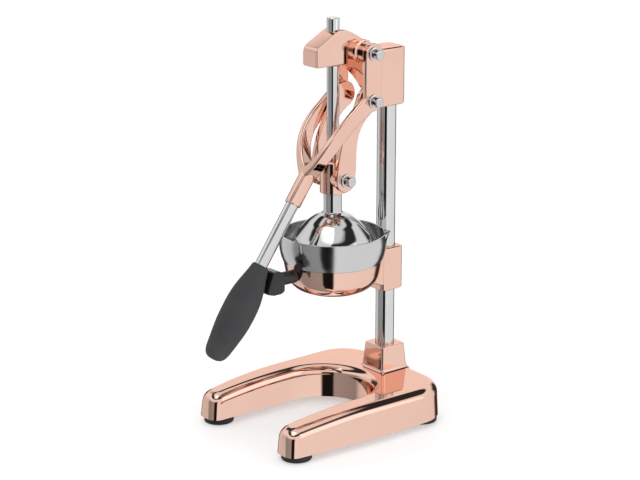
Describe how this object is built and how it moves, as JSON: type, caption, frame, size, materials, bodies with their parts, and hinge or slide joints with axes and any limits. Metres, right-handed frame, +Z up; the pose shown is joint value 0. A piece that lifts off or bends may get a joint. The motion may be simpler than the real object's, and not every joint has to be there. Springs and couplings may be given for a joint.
{
  "type": "lever citrus press",
  "caption": "Upright hand juice press: horseshoe base, column, head with hand lever and links, sliding plunger with bell, dish in a bracket.",
  "frame": {"origin": "middle of the bounding box on the table plane, under the rubber feet, with the lever down", "axes": "+Z up along the column, +Y from the handle towards the column, +X to the machine's right"},
  "size_m": [0.185, 0.269, 0.4484],
  "materials": {
    "copper_casting": "cast alloy, mirror-polished rose copper plate",
    "chrome": "mirror-polished chrome",
    "steel": "bright zinc-plated steel",
    "bronze": "turned bearing bronze",
    "rubber_foot": "black moulded rubber",
    "soft_grip": "dark grey matt soft-touch sleeve",
    "black_plastic": "black satin moulding"
  },
  "bodies": {
    "frame": {"base_casting": "copper_casting", "bowl_holder": "copper_casting", "column_bar": "chrome", "column_bolt": "steel", "column_washer": "steel", "foot_pad_front_left": "rubber_foot", "foot_pad_front_right": "rubber_foot", "foot_pad_rear_left": "rubber_foot", "foot_pad_rear_right": "rubber_foot", "foot_screw_front_left": "steel", "foot_screw_front_right": "steel", "foot_screw_rear_left": "steel", "foot_screw_rear_right": "steel", "guide_bush": "bronze", "head_casting": "copper_casting", "head_set_screw": "steel", "holder_set_screw": "steel", "lever_rest": "black_plastic", "pivot_bolt_left": "chrome", "pivot_bolt_right": "chrome", "pivot_washer_left": "chrome", "pivot_washer_right": "chrome", "rest_screw": "steel"},
    "lever": {"fork_bolt_left": "chrome", "fork_bolt_right": "chrome", "fork_spacer_left": "steel", "fork_spacer_right": "steel", "fork_washer_left": "chrome", "fork_washer_right": "chrome", "lever_fork": "copper_casting", "lever_grip": "soft_grip", "lever_pin": "steel", "lever_rod": "chrome"},
    "links": {"link_bolt_left": "chrome", "link_bolt_right": "chrome", "link_left": "copper_casting", "link_right": "copper_casting", "link_washer_left": "chrome", "link_washer_right": "chrome"},
    "plunger": {"plunger_rod": "chrome", "plunger_collar": "copper_casting", "collar_pin": "steel", "press_bell": "chrome", "bell_nut": "steel"},
    "dish": {"juice_dish": "chrome", "strainer_plate": "chrome", "reamer_cone": "chrome"}
  },
  "joints": [
    {"name": "lever_swing", "type": "hinge", "parent": "frame", "child": "lever", "pos_m": [0, 0.06469, 0.4102], "axis": [-1, 0, 0], "range_deg": [0, 115]},
    {"name": "link_swing", "type": "hinge", "parent": "lever", "child": "links", "pos_m": [0, 0.06449, 0.3592], "axis": [-1, 0, 0], "range_deg": [-146, 0]},
    {"name": "plunger_slide", "type": "slide", "parent": "frame", "child": "plunger", "axis": [0, 0, 1], "range_m": [0, 0.0695]},
    {"name": "dish_turn", "type": "hinge", "parent": "frame", "child": "dish", "pos_m": [0, 0.03369, 0.214], "axis": [0, 0, 1], "continuous": true}
  ],
  "couplings": [
    {"joint": "link_swing", "follows": "lever_swing", "ratio": -1.2607},
    {"joint": "plunger_slide", "follows": "lever_swing", "m_per_rad": 0.034149}
  ]
}
